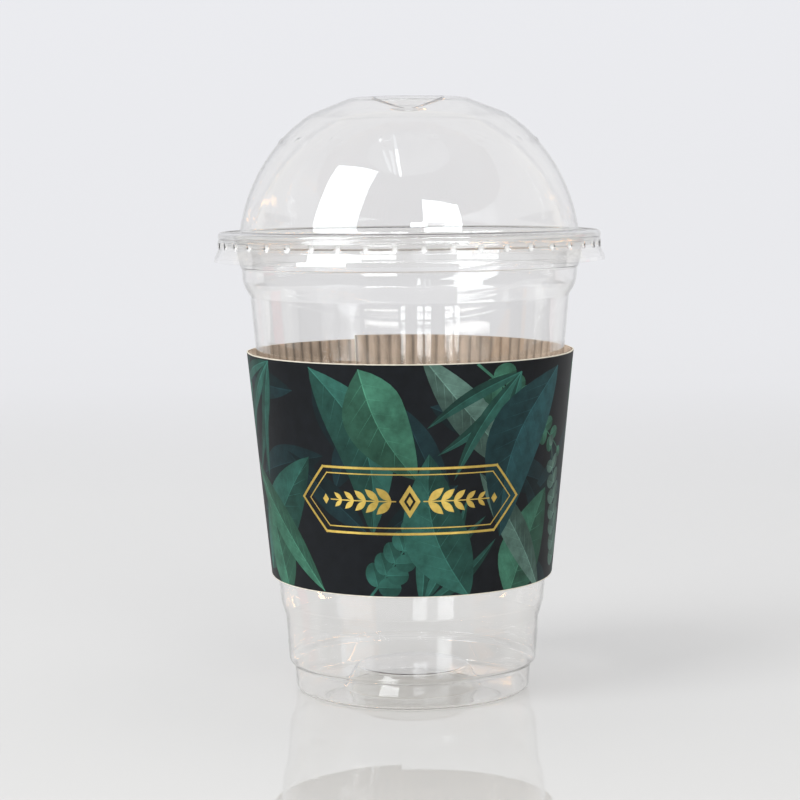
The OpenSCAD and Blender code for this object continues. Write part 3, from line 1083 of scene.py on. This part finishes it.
def reflection(name, quads, strength, tint, inside=False):
    """Panes that only glossy and clear surfaces show. They light nothing. With inside, only the
    rays that clear plastic lets in and throws back show them, so that neither the table nor the
    view straight through the cup does."""
    m, s = new_material(name)
    rays = s.add("LightPath").outputs
    level = s.math("MULTIPLY", s.math("LESS_THAN", rays["Diffuse Depth"], 0.5), strength)
    surface = s.add("Emission", Color=(*tint, 1), Strength=level).outputs[0]
    if inside:
        fewest = s.math("MINIMUM", rays["Glossy Depth"], rays["Transmission Depth"])
        clear = s.add("BsdfTransparent").outputs[0]
        surface = s.mix_shaders(s.math("GREATER_THAN", fewest, 0.5), clear, surface)
    s.finish(surface)
    m.cycles.emission_sampling = "NONE"
    mesh = bpy.data.meshes.new(name)
    mesh.from_pydata([c for q in quads for c in q], [],
                     [tuple(range(4 * i, 4 * i + 4)) for i in range(len(quads))])
    ob = show(name, mesh, m)
    ob.visible_camera = False
    ob.visible_diffuse = False
    ob.visible_shadow = False


WALL_AHEAD = -2.0
BACK_WALL = (0, 0.04, 0.093)
DOME_MIDDLE = (0, 0, 0.12)


def upright(x0, x1, z0, z1):
    """An upright pane in the wall ahead of the cup."""
    return [(x0, WALL_AHEAD, z0), (x1, WALL_AHEAD, z0), (x1, WALL_AHEAD, z1), (x0, WALL_AHEAD, z1)]


def aimed(*corners, distance=2.2, origin=DOME_MIDDLE):
    """A pane whose corners lie at these azimuths and elevations."""
    return [tuple(Vector(origin) + aim(*corner) * distance) for corner in corners]


def slab(left, right, low, high, **place):
    """A pane between two azimuths and two elevations."""
    return aimed((left, low), (right, low), (right, high), (left, high), **place)


def door(x0, x1, z0, z1):
    """A bar of a glazed door. It lies higher to the sides, so that the round wall shows it level."""
    rise = 0.017 * (x0 + x1) ** 2 / 4
    return upright(x0, x1, z0 + rise, z1 + rise)


WHITE = (1.0, 1.0, 1.0)
PALE_BLUE = (0.93, 0.97, 1.0)
PALE_WARM = (1.0, 1.0, 0.98)
PINK = (1.0, 0.55, 0.56)
WOOD = (1.0, 0.55, 0.25)
SUNLIT_WOOD = (1.0, 0.56, 0.24)
DARK_WOOD = (1.0, 0.9, 0.8)
DOOR_COLUMNS = [(0.127, 0.25), (-0.353, -0.195), (-0.59, -0.408), (-1.327, -1.036), (-1.618, -1.4)]
DOOR_ROWS = [(0.35, 0.357), (0.325, 0.348), (0.2965, 0.312), (0.286, 0.2945)]


def windows():
    """The bright panes that the lid and the collar show."""
    reflection("shine_right", [upright(0.35, 1.46, 0.93, 1.62)], 8.0, PALE_BLUE)
    reflection("shine_right_curtain", [upright(0.45, 0.812, 0.66, 0.93)], 2.4, PALE_BLUE)
    # The table mirrors these two panes into the wall below the sleeve.
    reflection("shine_right_low", [upright(0.03, 0.447, 0.69, 0.91), upright(0.815, 1.467, 0.69, 0.91)],
               18.0, PALE_BLUE)
    reflection("shine_left", [
        aimed((-68, 7), (-37, 7), (-36.1, 14.8), (-68.7, 14.7)),
        aimed((-68.7, 14.7), (-36.1, 14.8), (-34.5, 38.6), (-70.8, 36.1)),
        aimed((-70.8, 36.1), (-34.5, 38.6), (-30.7, 54.9), (-74.7, 50.7)),
    ], 6.0, PALE_BLUE)
    reflection("shine_above", [aimed((-9, 52.7), (-6, 52.7), (-19, 72.6), (-26, 72.6))], 5.0, PALE_BLUE)
    reflection("shine_above_soft", [
        aimed((-26, 72.6), (-19, 72.6), (-55, 82), (-75, 82)),
        aimed((-15, 54), (-12, 54), (-28, 71), (-34, 71)),
        aimed((-21, 56), (-18, 56), (-38, 70), (-43, 70)),
    ], 1.7, PALE_BLUE)


def low_lights():
    """What the cup's back wall and the flange show from inside."""
    reflection("shine_doors", [door(*column, *row) for column in DOOR_COLUMNS for row in DOOR_ROWS],
               8.0, PALE_BLUE, inside=True)
    reflection("shine_low", [
        aimed((9, 6.25), (22, 6.15), (22, 6.45), (9, 6.5), origin=BACK_WALL),
        aimed((22, 6.15), (35, 5.95), (35, 6.1), (22, 6.45), origin=BACK_WALL),
        aimed((-64, 4.8), (-45, 5.4), (-45, 5.75), (-64, 5.0), origin=BACK_WALL),
        aimed((-45, 5.4), (-27, 5.85), (-27, 6.0), (-45, 5.75), origin=BACK_WALL),
    ], 7.0, WHITE, inside=True)
    reflection("shine_side", [slab(38.7, 46.8, 5.2, 6.6, origin=BACK_WALL)], 1.2, WHITE, inside=True)
    reflection("pale_walls", [slab(left, right, -1, 4.5, distance=1.6)
                              for left, right in ((102, 114), (131, 142), (-122, -112))],
               1.15, PALE_WARM, inside=True)
    reflection("pink_wall", [slab(115, 129, -1, 4.5, distance=1.6)], 1.2, PINK, inside=True)
    reflection("shine_wood", [
        aimed((35, -3.5), (72, -3.5), (72, 4), (35, 1)),
        aimed((-100, -3.5), (-62, -3.5), (-62, 3), (-100, 5)),
    ], 0.8, WOOD, inside=True)
    # Sunlit boards low down, which the edge of the flange shows
    reflection("shine_boards_right", [slab(left, left + 19, -7.1, -4.8, distance=0.3)
                                      for left in (33, 52, 71, 90)], 18.0, SUNLIT_WOOD, inside=True)
    reflection("shine_boards_left", [slab(left, left + 21, -7.1, -5.8, distance=0.3)
                                     for left in (-107, -86)], 8.0, SUNLIT_WOOD, inside=True)
    reflection("dark_frames", [
        slab(-110, -64, -5.3, -4.2, distance=0.9),
        slab(50, 62, 1, 8, distance=2.1),
        slab(70, 96, 0, 5, distance=2.1),
        slab(-96, -80, 0, 8, distance=2.1),
        slab(-34, -20, 9, 12, distance=2.1),
    ], 0.06, DARK_WOOD, inside=True)


def camera(place, pitch, yaw, roll, lens):
    """The camera: pitch is down, yaw to the right and roll clockwise."""
    pitch, yaw, roll = map(math.radians, (pitch, yaw, roll))
    fwd = Vector((math.sin(yaw) * math.cos(pitch), math.cos(yaw) * math.cos(pitch), -math.sin(pitch)))
    level = Vector((math.cos(yaw), -math.sin(yaw), 0))
    upward = level.cross(fwd)
    right = level * math.cos(roll) + upward * math.sin(roll)
    up = upward * math.cos(roll) - level * math.sin(roll)
    data = bpy.data.cameras.new("camera")
    data.lens = lens
    data.sensor_width = 36.0
    data.clip_start = 0.01
    ob = bpy.data.objects.new("camera", data)
    bpy.context.scene.collection.objects.link(ob)
    ob.matrix_world = Matrix.Translation(place) @ Matrix((right, up, -fwd)).transposed().to_4x4()
    bpy.context.scene.camera = ob


floor()
room()
window("window_left", -52, 33, 0.8, 1.3, 1.7, 4.6)
window("window_right", 23, 24, 0.8, 0.8, 1.9, 3.0)
windows()
low_lights()
camera((0, -0.6152, 0.13364), pitch=5.345, yaw=-0.259, roll=-0.496, lens=105.75)

bpy.context.scene.view_settings.view_transform = "Standard"
